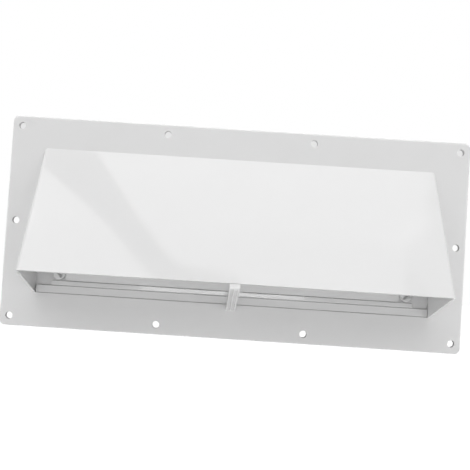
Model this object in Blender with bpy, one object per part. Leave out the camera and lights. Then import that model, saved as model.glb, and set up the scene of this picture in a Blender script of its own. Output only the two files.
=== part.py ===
# Wall cover for a kitchen exhaust duct: a screwed flange with a sloping rain hood,
# a duct frame with a hinged damper flap, and two turn tabs that lock the flap shut.
#
# Axes: +X to the right, -Y out of the wall towards the viewer, +Z up, in metres.
# Origin: on the duct's axis, in the plane of the wall (the flange's back face).
# A "reach" is a distance out of the wall from the flange's front face.

from math import asin, atan2, cos, pi, radians, sin, tan

import bmesh
import bpy
from mathutils import Matrix, Vector

MM = 0.001

# Duct collar: its outside fits into a standard rectangular duct
COLLAR_WIDTH = 254.0 * MM
COLLAR_HEIGHT = 82.5 * MM
COLLAR_WALL = 1.8 * MM
COLLAR_LENGTH = 38.0 * MM
COLLAR_CORNER_RADIUS = 4.0 * MM
COLLAR_LEAD_IN = 1.0 * MM

# Hood: a flat face that slopes from the flange out to its lip, between two cheeks
HOOD_SIDE_ROOM = 17.7 * MM
HOOD_TOP_ROOM = 13.4 * MM
HOOD_OPENING_RISE = 18.7 * MM
HOOD_DEPTH = 46.0 * MM
HOOD_TOP_DRAFT = 0.85 * MM
HOOD_LIP_FLARE = 0.3 * MM
HOOD_WALL = 1.8 * MM
HOOD_EDGE_RADIUS = 3.2 * MM
HOOD_INNER_RADIUS = 1.4 * MM
INNER_SLOPE_START = 0.2 * MM

# Flange around the hood
FLANGE_SIDE_MARGIN = 24.5 * MM
FLANGE_TOP_MARGIN = 24.2 * MM
FLANGE_BOTTOM_MARGIN = 26.7 * MM
FLANGE_THICKNESS = 3.2 * MM
FLANGE_CORNER_RADIUS = 4.5 * MM
FLANGE_EDGE_RADIUS = 1.2 * MM

# Screw holes: two rows along the long edges, and one hole half way up each side
SCREW_HOLE_DIAMETER = 5.4 * MM
SCREW_EDGE_DISTANCE_X = 7.4 * MM
SCREW_EDGE_DISTANCE_Z = 7.7 * MM
SCREWS_PER_ROW = 4

# Ribbed strut from the middle of the lip back to the flange
STRUT_WIDTH = 7.3 * MM
STRUT_HEIGHT = 2.9 * MM
STRUT_RIB_WIDTH = 1.4 * MM
STRUT_GROOVE_DEPTH = 0.9 * MM
STRUT_GROOVE_START = 0.3 * MM
STRUT_FOOT_DROP = 1.9 * MM
STRUT_END_THICKNESS = 1.5 * MM
STRUT_TURN_BEHIND_LIP = 2.4 * MM
STRUT_ROOT_ABOVE_LIP = 1.7 * MM
STRUT_FACE_SETBACK = 0.1 * MM

# Ledge left at the back of the cover's opening, which the duct frame seats on
LEDGE_THICKNESS = 1.3 * MM
LEDGE_WIDTH = 4.0 * MM
SEAT_GAP = 0.3 * MM

# Duct frame: plate, sill and rail
PLATE_THICKNESS = 1.5 * MM
PLATE_CORNER_RADIUS = 3.0 * MM
SILL_HEIGHT = 5.7 * MM
SILL_JOINT = 0.4 * MM
SILL_SETBACK = 0.1 * MM
RAIL_BEYOND_TABS = 0.8 * MM
RAIL_HEIGHT = 3.4 * MM
RAIL_REACH = 1.0 * MM
RAIL_GROOVE = 0.5 * MM
RAIL_EDGE_RADIUS = 0.5 * MM
RAIL_FACE_TILT = radians(5.0)

# Damper flap, hung in two open ears on the plate
FLAP_THICKNESS = 1.6 * MM
FLAP_SIDE_OVERLAP = 2.8 * MM
FLAP_FOOT_OVERLAP = 4.6 * MM
FLAP_RAIL_CLEARANCE = 0.35 * MM
FLAP_CORNER_RADIUS = 2.0 * MM
FLAP_FIELD_MARGIN_X = 20.0 * MM
FLAP_FIELD_MARGIN_Z = 13.0 * MM
FLAP_FIELD_HEIGHT = 1.0 * MM
FLAP_FIELD_SLOPE = 2.0 * MM
FLAP_FIELD_RADIUS = 6.0 * MM
HINGE_ABOVE_MOUTH = 4.05 * MM
HINGE_PIN_DIAMETER = 2.4 * MM
HINGE_PIN_CLEARANCE = 0.25 * MM
HINGE_PIN_LENGTH = 3.1 * MM
HINGE_PIN_SETBACK = 0.1 * MM
EAR_WIDTH = 3.0 * MM
EAR_WALL = 1.1 * MM
EAR_SIDE_CLEARANCE = 0.5 * MM
EAR_MOUTH_WIDTH = 2.0 * MM

# Turn tabs that swing over the flap's lower corners
TAB_HUB_DIAMETER = 9.2 * MM
TAB_HUB_REACH = 2.1 * MM
TAB_HUB_CHAMFER = 0.6 * MM
TAB_FLAP_CLEARANCE = 0.4 * MM
TAB_RAIL_CLEARANCE = 0.6 * MM
TAB_LENGTH = 13.0 * MM
TAB_WIDTH = 5.4 * MM
TAB_THICKNESS = 1.2 * MM
TAB_OVER_FLAP = 0.4 * MM
TAB_SLOT_LENGTH = 6.4 * MM
TAB_SLOT_WIDTH = 1.2 * MM
TAB_SLOT_DEPTH = 0.5 * MM
TAB_SLOT_ANGLE = radians(45.0)
TAB_PIN_DIAMETER = 3.0 * MM
TAB_PIN_CLEARANCE = 0.3 * MM
TAB_BARB_DIAMETER = 4.6 * MM
TAB_BARB_LENGTH = 1.4 * MM
TAB_SPLIT_WIDTH = 0.8 * MM

# Colours
COVER_COLOUR = (0.85, 0.85, 0.85)
COVER_ROUGHNESS = 0.22
INNER_COLOUR = (0.86, 0.86, 0.86)
INNER_ROUGHNESS = 0.35

# Facets
CORNER_STEPS = 6
EDGE_STEPS = 5
HOOD_EDGE_STEPS = 5
HOLE_SEGMENTS = 24
PIN_SEGMENTS = 20
HUB_SEGMENTS = 32

# How far one solid runs into another before they are joined, or a cutter runs past
OVERRUN = 1.0 * MM
SMOOTH_ANGLE = radians(22.0)

# Places worked out from the sizes above, from the duct outwards
MOUTH_WIDTH = COLLAR_WIDTH - 2 * COLLAR_WALL
MOUTH_HEIGHT = COLLAR_HEIGHT - 2 * COLLAR_WALL
FLAP_WIDTH = MOUTH_WIDTH + 2 * FLAP_SIDE_OVERLAP
FLAP_BOTTOM_Z = -MOUTH_HEIGHT / 2 - FLAP_FOOT_OVERLAP
HINGE_Z = MOUTH_HEIGHT / 2 + HINGE_ABOVE_MOUTH
RAIL_TOP_Z = FLAP_BOTTOM_Z - FLAP_RAIL_CLEARANCE
RAIL_BOTTOM_Z = RAIL_TOP_Z - RAIL_HEIGHT
SILL_TOP_Z = RAIL_BOTTOM_Z - RAIL_GROOVE
SILL_BOTTOM_Z = SILL_TOP_Z - SILL_HEIGHT
TAB_X = FLAP_WIDTH / 2 + TAB_FLAP_CLEARANCE + TAB_HUB_DIAMETER / 2
TAB_Z = RAIL_TOP_Z + TAB_RAIL_CLEARANCE + TAB_HUB_DIAMETER / 2
RAIL_WIDTH = 2 * TAB_X + TAB_HUB_DIAMETER + 2 * RAIL_BEYOND_TABS
HOOD_TOP_Z = HINGE_Z + HOOD_TOP_ROOM
HOOD_BASE_Z = SILL_BOTTOM_Z - SILL_JOINT
HOOD_LIP_Z = HOOD_BASE_Z + HOOD_OPENING_RISE
HOOD_BASE_WIDTH = 2 * (TAB_X + HOOD_SIDE_ROOM + HOOD_WALL)
HOOD_TOP_WIDTH = HOOD_BASE_WIDTH - 2 * HOOD_TOP_DRAFT
HOOD_LIP_WIDTH = HOOD_BASE_WIDTH + 2 * HOOD_LIP_FLARE
FACE_SLOPE = HOOD_DEPTH / (HOOD_TOP_Z - HOOD_LIP_Z)
OPENING_SLOPE = HOOD_OPENING_RISE / HOOD_DEPTH
FACE_WALL_REACH = HOOD_WALL / cos(atan2(FACE_SLOPE, 1.0))
OPENING_TOP_Z = HOOD_TOP_Z - (FACE_WALL_REACH + INNER_SLOPE_START) / FACE_SLOPE
FLANGE_WIDTH = HOOD_BASE_WIDTH + 2 * FLANGE_SIDE_MARGIN
FLANGE_TOP_Z = HOOD_TOP_Z + FLANGE_TOP_MARGIN
FLANGE_BOTTOM_Z = HOOD_BASE_Z - FLANGE_BOTTOM_MARGIN
FLANGE_HEIGHT = FLANGE_TOP_Z - FLANGE_BOTTOM_Z
FLANGE_CENTRE_Z = (FLANGE_TOP_Z + FLANGE_BOTTOM_Z) / 2
FLANGE_FRONT_Y = -FLANGE_THICKNESS
PLATE_FRONT_Y = FLANGE_FRONT_Y + LEDGE_THICKNESS + SEAT_GAP
PLATE_BACK_Y = PLATE_FRONT_Y + PLATE_THICKNESS
FLAP_BACK_Y = PLATE_FRONT_Y - SEAT_GAP
FLAP_FRONT_Y = FLAP_BACK_Y - FLAP_THICKNESS
HINGE_Y = FLAP_BACK_Y - HINGE_PIN_SETBACK - HINGE_PIN_DIAMETER / 2


def at_reach(reach):
    """The Y of a point that stands this far out of the flange's front face."""
    return FLANGE_FRONT_Y - reach


def cheek_half_width(reach, z, inset=0.0):
    """Half the hood's width at one point of its cheeks, which lean in with draft."""
    lean_up = (HOOD_TOP_WIDTH - HOOD_BASE_WIDTH) / 2 / (HOOD_TOP_Z - HOOD_BASE_Z)
    at_lip_height = HOOD_BASE_WIDTH / 2 + lean_up * (HOOD_LIP_Z - HOOD_BASE_Z)
    lean_out = (HOOD_LIP_WIDTH / 2 - at_lip_height) / HOOD_DEPTH
    return HOOD_BASE_WIDTH / 2 + lean_up * (z - HOOD_BASE_Z) + lean_out * reach - inset


def plastic(name, colour, roughness):
    material = bpy.data.materials.new(name)
    material.use_nodes = True
    shader = material.node_tree.nodes["Principled BSDF"]
    shader.inputs["Base Color"].default_value = (*colour, 1.0)
    shader.inputs["Roughness"].default_value = roughness
    shader.inputs["Metallic"].default_value = 0.0
    return material


def rounded_rectangle(width, height, radius, y, centre_z=0.0):
    """A loop of points in a plane parallel to the wall."""
    points = []
    for turn, (side_x, side_z) in enumerate(((1, 1), (-1, 1), (-1, -1), (1, -1))):
        corner_x = side_x * (width / 2 - radius)
        corner_z = centre_z + side_z * (height / 2 - radius)
        for step in range(CORNER_STEPS + 1):
            angle = (turn + step / CORNER_STEPS) * pi / 2
            points.append(Vector((corner_x + radius * cos(angle), y, corner_z + radius * sin(angle))))
    return points


def loft(bm, loops):
    """Skin a closed solid through loops that have the same number of points."""
    rings = [[bm.verts.new(point) for point in loop] for loop in loops]
    count = len(rings[0])
    for lower, upper in zip(rings, rings[1:]):
        for i in range(count):
            j = (i + 1) % count
            bm.faces.new((lower[i], lower[j], upper[j], upper[i]))
    bm.faces.new(rings[0])
    bm.faces.new(rings[-1])
    bmesh.ops.recalc_face_normals(bm, faces=bm.faces)


def box(low, high):
    bm = bmesh.new()
    size = Vector(high) - Vector(low)
    centre = (Vector(high) + Vector(low)) / 2
    bmesh.ops.create_cube(bm, size=1.0, matrix=Matrix.Translation(centre) @ Matrix.Diagonal((*size, 1.0)))
    return bm


def rod(start, end, diameter, segments, end_diameter=None):
    """A cylinder, or a cone with its own end diameter, from one point to another."""
    bm = bmesh.new()
    axis = Vector(end) - Vector(start)
    turn = axis.to_track_quat("Z", "Y").to_matrix().to_4x4()
    centre = (Vector(start) + Vector(end)) / 2
    bmesh.ops.create_cone(
        bm,
        cap_ends=True,
        segments=segments,
        radius1=diameter / 2,
        radius2=(diameter if end_diameter is None else end_diameter) / 2,
        depth=axis.length,
        matrix=Matrix.Translation(centre) @ turn,
    )
    return bm


def merged(*parts):
    """Several separate shells in one mesh, for a cutter that cuts in many places."""
    bm = bmesh.new()
    for part in parts:
        mesh = bpy.data.meshes.new("shell")
        part.to_mesh(mesh)
        part.free()
        bm.from_mesh(mesh)
        bpy.data.meshes.remove(mesh)
    return bm


def prism_across(profile, half_width_at, centre_x=0.0):
    """A solid with one side profile of (reach, z) points, whose width may vary."""
    bm = bmesh.new()
    sides = []
    for side in (-1, 1):
        loop = []
        for reach, z in profile:
            loop.append(Vector((centre_x + side * half_width_at(reach, z), at_reach(reach), z)))
        sides.append(loop)
    loft(bm, sides)
    return bm


def to_object(name, bm, location=(0.0, 0.0, 0.0)):
    mesh = bpy.data.meshes.new(name)
    bm.to_mesh(mesh)
    bm.free()
    mesh.shade_smooth()
    mesh.set_sharp_from_angle(angle=SMOOTH_ANGLE)
    item = bpy.data.objects.new(name, mesh)
    item.location = location
    bpy.context.scene.collection.objects.link(item)
    return item


def piece(name, bm, material, parent, location=(0.0, 0.0, 0.0)):
    item = to_object(name, bm, location)
    item.data.materials.append(material)
    item.parent = parent
    return item


def boolean(target, operation, bm, name):
    """Join a solid to a piece, or cut it away, by a helper in the piece's own frame."""
    helper = to_object(f"{target.name}_{name}", bm, target.location)
    helper.parent = target.parent
    helper.hide_render = True
    helper.display_type = "WIRE"
    modifier = target.modifiers.new(name, "BOOLEAN")
    modifier.operation = operation
    modifier.solver = "EXACT"
    modifier.object = helper


def join(target, bm, name):
    boolean(target, "UNION", bm, name)


def cut(target, bm, name):
    boolean(target, "DIFFERENCE", bm, name)


def flange_plate():
    """A rounded plate whose front edge is rolled over."""
    bm = bmesh.new()

    def outline(inset, y):
        width = FLANGE_WIDTH - 2 * inset
        height = FLANGE_HEIGHT - 2 * inset
        return rounded_rectangle(width, height, FLANGE_CORNER_RADIUS - inset, y, FLANGE_CENTRE_Z)

    loops = [outline(0.0, 0.0)]
    for step in range(EDGE_STEPS + 1):
        angle = step / EDGE_STEPS * pi / 2
        inset = FLANGE_EDGE_RADIUS * (1 - cos(angle))
        loops.append(outline(inset, FLANGE_FRONT_Y + FLANGE_EDGE_RADIUS * (1 - sin(angle))))
    loft(bm, loops)
    return bm


def round_face_edges(bm, profile_ends, radius):
    """Round the two edges where the hood's sloping face turns into its cheeks."""
    edges = []
    for edge in bm.edges:
        a, b = (vert.co for vert in edge.verts)
        slopes = a.x * b.x > 0 and abs(a.y - b.y) > radius
        ends = sorted((a.z, b.z))
        if slopes and all(abs(end - z) < 1e-6 for end, z in zip(ends, sorted(profile_ends))):
            edges.append(edge)
    bmesh.ops.bevel(
        bm, geom=edges, offset=radius, segments=HOOD_EDGE_STEPS, profile=0.5, affect="EDGES"
    )


def hood_outside():
    sink = FLANGE_THICKNESS / 2
    top = (-sink, HOOD_TOP_Z + sink / FACE_SLOPE)
    lip = (HOOD_DEPTH, HOOD_LIP_Z)
    base = (-sink, HOOD_BASE_Z - sink * OPENING_SLOPE)
    bm = prism_across((top, lip, base), cheek_half_width)
    round_face_edges(bm, (top[1], lip[1]), HOOD_EDGE_RADIUS)
    return bm


def hood_inside():
    """The hood's hollow, which runs out through its open underside and the flange."""

    def half_width(reach, z):
        return cheek_half_width(reach, z, HOOD_WALL)

    back = -(FLANGE_THICKNESS + OVERRUN)
    bottom_reach = (HOOD_TOP_Z - HOOD_BASE_Z) * FACE_SLOPE - FACE_WALL_REACH
    profile = (
        (back, OPENING_TOP_Z),
        (INNER_SLOPE_START, OPENING_TOP_Z),
        (bottom_reach, HOOD_BASE_Z),
        (back, HOOD_BASE_Z),
    )
    bm = prism_across(profile, half_width)
    round_face_edges(bm, (OPENING_TOP_Z, HOOD_BASE_Z), HOOD_INNER_RADIUS)
    return bm


def opening_half_width():
    return cheek_half_width(0.0, HOOD_BASE_Z, HOOD_WALL)


def seat_outline(grow, y):
    """The border that the ledge leaves around the opening, grown by a clearance."""
    width = 2 * (opening_half_width() + LEDGE_WIDTH + grow)
    height = OPENING_TOP_Z - HOOD_BASE_Z + 2 * (LEDGE_WIDTH + grow)
    centre_z = (OPENING_TOP_Z + HOOD_BASE_Z) / 2
    return rounded_rectangle(width, height, PLATE_CORNER_RADIUS + grow, y, centre_z)


def frame_seat():
    bm = bmesh.new()
    loft(bm, (seat_outline(SEAT_GAP, OVERRUN), seat_outline(SEAT_GAP, FLANGE_FRONT_Y + LEDGE_THICKNESS)))
    return bm


def screw_places():
    places = []
    half_span = FLANGE_WIDTH / 2 - SCREW_EDGE_DISTANCE_X
    for z in (FLANGE_BOTTOM_Z + SCREW_EDGE_DISTANCE_Z, FLANGE_TOP_Z - SCREW_EDGE_DISTANCE_Z):
        for i in range(SCREWS_PER_ROW):
            places.append((half_span * (2 * i / (SCREWS_PER_ROW - 1) - 1), z))
    places.append((-half_span, FLANGE_CENTRE_Z))
    places.append((half_span, FLANGE_CENTRE_Z))
    return places


def screw_holes():
    holes = []
    for x, z in screw_places():
        start = (x, OVERRUN, z)
        end = (x, FLANGE_FRONT_Y - OVERRUN, z)
        holes.append(rod(start, end, SCREW_HOLE_DIAMETER, HOLE_SEGMENTS))
    return merged(*holes)


def strut_top_z(reach):
    foot_z = HOOD_BASE_Z - STRUT_FOOT_DROP
    return foot_z + (HOOD_LIP_Z - foot_z) * reach / HOOD_DEPTH


def strut_under_z(reach):
    return strut_top_z(reach) - STRUT_HEIGHT


def strut_face_reach(z):
    """The strut's end lies in the plane of the hood's face, a hair behind it."""
    return HOOD_DEPTH - STRUT_FACE_SETBACK + (HOOD_LIP_Z - z) * FACE_SLOPE


def strut_body():
    """A bar from the flange to the lip, with a flat end that carries on the hood's face."""
    foot = -FLANGE_THICKNESS / 4
    neck = HOOD_DEPTH - STRUT_TURN_BEHIND_LIP
    root_z = HOOD_LIP_Z + STRUT_ROOT_ABOVE_LIP
    end_z = HOOD_LIP_Z - STRUT_HEIGHT
    profile = (
        (foot, strut_top_z(foot)),
        (neck, strut_top_z(neck)),
        (strut_face_reach(root_z) - FACE_WALL_REACH / 2, root_z),
        (strut_face_reach(root_z), root_z),
        (strut_face_reach(end_z), end_z),
        (foot, strut_under_z(foot)),
    )
    return prism_across(profile, lambda reach, z: STRUT_WIDTH / 2)


def strut_grooves():
    """Two grooves along the underside that leave a rib on each side and one in the middle."""
    groove_width = (STRUT_WIDTH - 3 * STRUT_RIB_WIDTH) / 2
    ends = (STRUT_GROOVE_START, HOOD_DEPTH - STRUT_END_THICKNESS)
    profile = [(reach, strut_under_z(reach) - OVERRUN) for reach in ends]
    profile += [(reach, strut_under_z(reach) + STRUT_GROOVE_DEPTH) for reach in reversed(ends)]
    grooves = []
    for side in (-1, 1):
        centre_x = side * (STRUT_RIB_WIDTH + groove_width) / 2
        grooves.append(prism_across(profile, lambda reach, z: groove_width / 2, centre_x))
    return merged(*grooves)


def make_cover(material, parent):
    cover = piece("cover", flange_plate(), material, parent)
    cut(cover, screw_holes(), "screw_holes")
    join(cover, hood_outside(), "hood")
    cut(cover, hood_inside(), "hollow")
    cut(cover, frame_seat(), "frame_seat")
    join(cover, strut_body(), "strut")
    cut(cover, strut_grooves(), "strut_grooves")


def frame_plate():
    bm = bmesh.new()
    loft(bm, (seat_outline(0.0, PLATE_BACK_Y), seat_outline(0.0, PLATE_FRONT_Y)))
    return bm


def collar_solid(width, height, radius, front_y, back_y, lead_in):
    """A rounded block through the plate, narrowed at its rear end by a lead-in."""
    bm = bmesh.new()
    loops = [rounded_rectangle(width, height, radius, front_y)]
    loops.append(rounded_rectangle(width, height, radius, back_y - lead_in))
    if lead_in > 0:
        narrow = lead_in / 2
        loops.append(rounded_rectangle(width - 2 * narrow, height - 2 * narrow, radius - narrow, back_y))
    loft(bm, loops)
    return bm


def collar_outside():
    front_y = PLATE_BACK_Y - PLATE_THICKNESS / 2
    return collar_solid(
        COLLAR_WIDTH, COLLAR_HEIGHT, COLLAR_CORNER_RADIUS, front_y, COLLAR_LENGTH, COLLAR_LEAD_IN
    )


def collar_inside():
    radius = COLLAR_CORNER_RADIUS - COLLAR_WALL
    front_y = PLATE_FRONT_Y - OVERRUN
    return collar_solid(MOUTH_WIDTH, MOUTH_HEIGHT, radius, front_y, COLLAR_LENGTH + OVERRUN, 0.0)


def sill():
    """A bar that fills the foot of the cover's opening, flush with the flange."""
    half = opening_half_width() - SILL_JOINT
    low = (-half, at_reach(-SILL_SETBACK), SILL_BOTTOM_Z)
    high = (half, PLATE_FRONT_Y + PLATE_THICKNESS / 2, SILL_TOP_Z)
    return box(low, high)


def rail():
    """A ledge below the flap, with rounded edges and a front that faces slightly up."""
    bm = bmesh.new()
    back_y = PLATE_FRONT_Y + PLATE_THICKNESS / 2
    front_y = at_reach(RAIL_REACH)
    centre_z = (RAIL_BOTTOM_Z + RAIL_TOP_Z) / 2
    loops = [rounded_rectangle(RAIL_WIDTH, RAIL_HEIGHT, RAIL_EDGE_RADIUS, back_y, centre_z)]
    for step in range(EDGE_STEPS + 1):
        angle = step / (EDGE_STEPS + 1) * pi / 2
        inset = RAIL_EDGE_RADIUS * (1 - cos(angle))
        y = front_y + RAIL_EDGE_RADIUS * (1 - sin(angle))
        width = RAIL_WIDTH - 2 * inset
        height = RAIL_HEIGHT - 2 * inset
        loop = rounded_rectangle(width, height, RAIL_EDGE_RADIUS - inset, y, centre_z)
        for point in loop:
            point.y += (point.z - centre_z) * tan(RAIL_FACE_TILT)
        loops.append(loop)
    loft(bm, loops)
    return bm


def ear(side):
    """One hinge ear: an open eye for the flap's pin, on a foot that grows out of the plate."""
    hole_radius = HINGE_PIN_DIAMETER / 2 + HINGE_PIN_CLEARANCE
    outer_radius = hole_radius + EAR_WALL
    outer_start = asin(EAR_MOUTH_WIDTH / 2 / outer_radius)
    hole_start = asin(EAR_MOUTH_WIDTH / 2 / hole_radius)
    foot_y = PLATE_FRONT_Y + PLATE_THICKNESS / 2

    def arc(radius, start, end, steps):
        for step in range(steps + 1):
            angle = start + (end - start) * step / steps
            yield HINGE_Y - radius * cos(angle), HINGE_Z + radius * sin(angle)

    outline = [*arc(outer_radius, -pi / 2, -outer_start, CORNER_STEPS)]
    outline += arc(hole_radius, -hole_start, hole_start - 2 * pi, PIN_SEGMENTS)
    outline += arc(outer_radius, outer_start, pi / 2, CORNER_STEPS)
    outline.append((foot_y, HINGE_Z + outer_radius))
    outline.append((foot_y, HINGE_Z - outer_radius))
    inner_x = side * (FLAP_WIDTH / 2 + EAR_SIDE_CLEARANCE)
    bm = bmesh.new()
    loft(bm, [[Vector((x, y, z)) for y, z in outline] for x in (inner_x, inner_x + side * EAR_WIDTH)])
    return bm


def tab_pin_holes():
    holes = []
    for side in (-1, 1):
        start = (side * TAB_X, PLATE_BACK_Y + OVERRUN, TAB_Z)
        end = (side * TAB_X, PLATE_FRONT_Y - OVERRUN, TAB_Z)
        holes.append(rod(start, end, TAB_PIN_DIAMETER + 2 * TAB_PIN_CLEARANCE, PIN_SEGMENTS))
    return merged(*holes)


def make_duct_frame(material, parent):
    frame = piece("duct_frame", frame_plate(), material, parent)
    join(frame, collar_outside(), "collar")
    cut(frame, collar_inside(), "duct")
    join(frame, sill(), "sill")
    join(frame, rail(), "rail")
    join(frame, ear(-1), "left_ear")
    join(frame, ear(1), "right_ear")
    cut(frame, tab_pin_holes(), "tab_pin_holes")


def flap_panel():
    """The flap's sheet, in the flap's own frame with the hinge axis at its origin."""
    bm = bmesh.new()
    bottom = FLAP_BOTTOM_Z - HINGE_Z
    centre_z = bottom / 2
    back_y = FLAP_BACK_Y - HINGE_Y
    front_y = FLAP_FRONT_Y - HINGE_Y
    loops = []
    for y in (back_y, front_y):
        loops.append(rounded_rectangle(FLAP_WIDTH, -bottom, FLAP_CORNER_RADIUS, y, centre_z))
    loft(bm, loops)
    return bm


def flap_field(base_y, overrun_y, rise):
    """The raised field that stiffens the sheet, or the hollow behind it."""
    bm = bmesh.new()
    centre_z = (FLAP_BOTTOM_Z - HINGE_Z) / 2
    width = FLAP_WIDTH - 2 * FLAP_FIELD_MARGIN_X
    height = HINGE_Z - FLAP_BOTTOM_Z - 2 * FLAP_FIELD_MARGIN_Z
    slope = 2 * FLAP_FIELD_SLOPE
    inner_radius = FLAP_FIELD_RADIUS - FLAP_FIELD_SLOPE
    loops = (
        rounded_rectangle(width, height, FLAP_FIELD_RADIUS, overrun_y, centre_z),
        rounded_rectangle(width, height, FLAP_FIELD_RADIUS, base_y, centre_z),
        rounded_rectangle(width - slope, height - slope, inner_radius, base_y - rise, centre_z),
    )
    loft(bm, loops)
    return bm


def make_damper_flap(material, parent):
    flap = piece("damper_flap", flap_panel(), material, parent, (0.0, HINGE_Y, HINGE_Z))
    back_y = FLAP_BACK_Y - HINGE_Y
    front_y = FLAP_FRONT_Y - HINGE_Y
    join(flap, flap_field(front_y, front_y + FLAP_THICKNESS / 2, FLAP_FIELD_HEIGHT), "field")
    cut(flap, flap_field(back_y, back_y + OVERRUN, FLAP_FIELD_HEIGHT), "field_hollow")
    half = FLAP_WIDTH / 2 + HINGE_PIN_LENGTH
    join(flap, rod((-half, 0.0, 0.0), (half, 0.0, 0.0), HINGE_PIN_DIAMETER, PIN_SEGMENTS), "hinge_barrel")


def tab_lever(back_y, front_y):
    """A flat lever with a round free end, from the hub's centre upwards."""
    outline = [(-TAB_WIDTH / 2, 0.0)]
    for step in range(CORNER_STEPS * 2 + 1):
        angle = pi - step / (CORNER_STEPS * 2) * pi
        x = TAB_WIDTH / 2 * cos(angle)
        z = TAB_LENGTH - TAB_WIDTH / 2 + TAB_WIDTH / 2 * sin(angle)
        outline.append((x, z))
    outline.append((TAB_WIDTH / 2, 0.0))
    bm = bmesh.new()
    loft(bm, [[Vector((x, y, z)) for x, z in outline] for y in (back_y, front_y)])
    return bm


def tab_hub(back_y, front_y):
    """A round head whose front edge is chamfered."""
    bm = bmesh.new()
    radius = TAB_HUB_DIAMETER / 2
    loops = []
    ends = ((radius, back_y), (radius, front_y + TAB_HUB_CHAMFER), (radius - TAB_HUB_CHAMFER, front_y))
    for ring_radius, y in ends:
        angles = [2 * pi * step / HUB_SEGMENTS for step in range(HUB_SEGMENTS)]
        loops.append([Vector((ring_radius * cos(angle), y, ring_radius * sin(angle))) for angle in angles])
    loft(bm, loops)
    return bm


def make_turn_tab(name, side, material, parent):
    """One turn tab, in its own frame with its turning axis at its origin."""
    hub_back = PLATE_FRONT_Y - SEAT_GAP
    lever_back = FLAP_FRONT_Y - TAB_OVER_FLAP
    lever_front = lever_back - TAB_THICKNESS
    hub_front = at_reach(TAB_HUB_REACH)
    tab = piece(name, tab_hub(hub_back, hub_front), material, parent, (side * TAB_X, 0.0, TAB_Z))
    join(tab, tab_lever(lever_back, lever_front), "lever")

    barb_front = PLATE_BACK_Y + SEAT_GAP
    barb_back = barb_front + TAB_BARB_LENGTH
    pin_front = (0.0, hub_back - OVERRUN, 0.0)
    pin_back = (0.0, barb_front + TAB_BARB_LENGTH / 2, 0.0)
    join(tab, rod(pin_front, pin_back, TAB_PIN_DIAMETER, PIN_SEGMENTS), "pin")
    barb_ends = ((0.0, barb_front, 0.0), (0.0, barb_back, 0.0))
    join(tab, rod(*barb_ends, TAB_BARB_DIAMETER, PIN_SEGMENTS, TAB_PIN_DIAMETER), "barb")

    half_split = TAB_SPLIT_WIDTH / 2
    split_low = (-half_split, hub_back, -TAB_BARB_DIAMETER)
    split_high = (half_split, barb_back + OVERRUN, TAB_BARB_DIAMETER)
    cut(tab, box(split_low, split_high), "split")

    half_slot = TAB_SLOT_WIDTH / 2
    slot = box(
        (-half_slot, hub_front - OVERRUN, -TAB_SLOT_LENGTH / 2),
        (half_slot, hub_front + TAB_SLOT_DEPTH, TAB_SLOT_LENGTH / 2),
    )
    bmesh.ops.rotate(
        slot, cent=(0.0, 0.0, 0.0), matrix=Matrix.Rotation(side * TAB_SLOT_ANGLE, 3, "Y"), verts=slot.verts
    )
    cut(tab, slot, "slot")


def clear_scene():
    for item in list(bpy.data.objects):
        bpy.data.objects.remove(item, do_unlink=True)


def build():
    clear_scene()
    parent = bpy.data.objects.new("exhaust_vent_cover", None)
    bpy.context.scene.collection.objects.link(parent)
    cover_plastic = plastic("cover_plastic", COVER_COLOUR, COVER_ROUGHNESS)
    damper_plastic = plastic("damper_plastic", INNER_COLOUR, INNER_ROUGHNESS)
    tab_plastic = plastic("tab_plastic", INNER_COLOUR, INNER_ROUGHNESS)
    make_cover(cover_plastic, parent)
    make_duct_frame(damper_plastic, parent)
    make_damper_flap(damper_plastic, parent)
    make_turn_tab("turn_tab_left", -1, tab_plastic, parent)
    make_turn_tab("turn_tab_right", 1, tab_plastic, parent)


build()
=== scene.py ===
from math import asin, atan2, cos, pi, radians, sin, tan

import bmesh
import bpy
from mathutils import Matrix, Vector


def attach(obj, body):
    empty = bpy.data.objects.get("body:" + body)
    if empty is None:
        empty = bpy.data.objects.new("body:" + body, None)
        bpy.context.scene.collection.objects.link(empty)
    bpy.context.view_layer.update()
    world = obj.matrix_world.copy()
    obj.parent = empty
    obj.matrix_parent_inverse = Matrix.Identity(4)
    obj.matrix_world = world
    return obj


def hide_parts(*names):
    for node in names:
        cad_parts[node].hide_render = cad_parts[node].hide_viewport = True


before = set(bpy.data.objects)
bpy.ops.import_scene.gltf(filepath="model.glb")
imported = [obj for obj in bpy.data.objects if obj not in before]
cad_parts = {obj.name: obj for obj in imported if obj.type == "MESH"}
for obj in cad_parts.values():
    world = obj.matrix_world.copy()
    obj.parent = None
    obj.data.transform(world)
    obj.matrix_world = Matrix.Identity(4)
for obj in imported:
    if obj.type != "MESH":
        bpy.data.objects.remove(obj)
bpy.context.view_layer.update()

MM = 0.001

# The solids' own sizes, with the same names and chain of places as in the part's source

# Duct collar: its outside fits into a standard rectangular duct
COLLAR_WIDTH = 254.0 * MM
COLLAR_HEIGHT = 82.5 * MM
COLLAR_WALL = 1.8 * MM
COLLAR_LENGTH = 38.0 * MM
COLLAR_CORNER_RADIUS = 4.0 * MM
COLLAR_LEAD_IN = 1.0 * MM

# Hood: a flat face that slopes from the flange out to its lip, between two cheeks
HOOD_SIDE_ROOM = 17.7 * MM
HOOD_TOP_ROOM = 13.4 * MM
HOOD_OPENING_RISE = 18.7 * MM
HOOD_DEPTH = 46.0 * MM
HOOD_TOP_DRAFT = 0.85 * MM
HOOD_LIP_FLARE = 0.3 * MM
HOOD_WALL = 1.8 * MM
HOOD_EDGE_RADIUS = 3.2 * MM
HOOD_INNER_RADIUS = 1.4 * MM
INNER_SLOPE_START = 0.2 * MM

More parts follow.
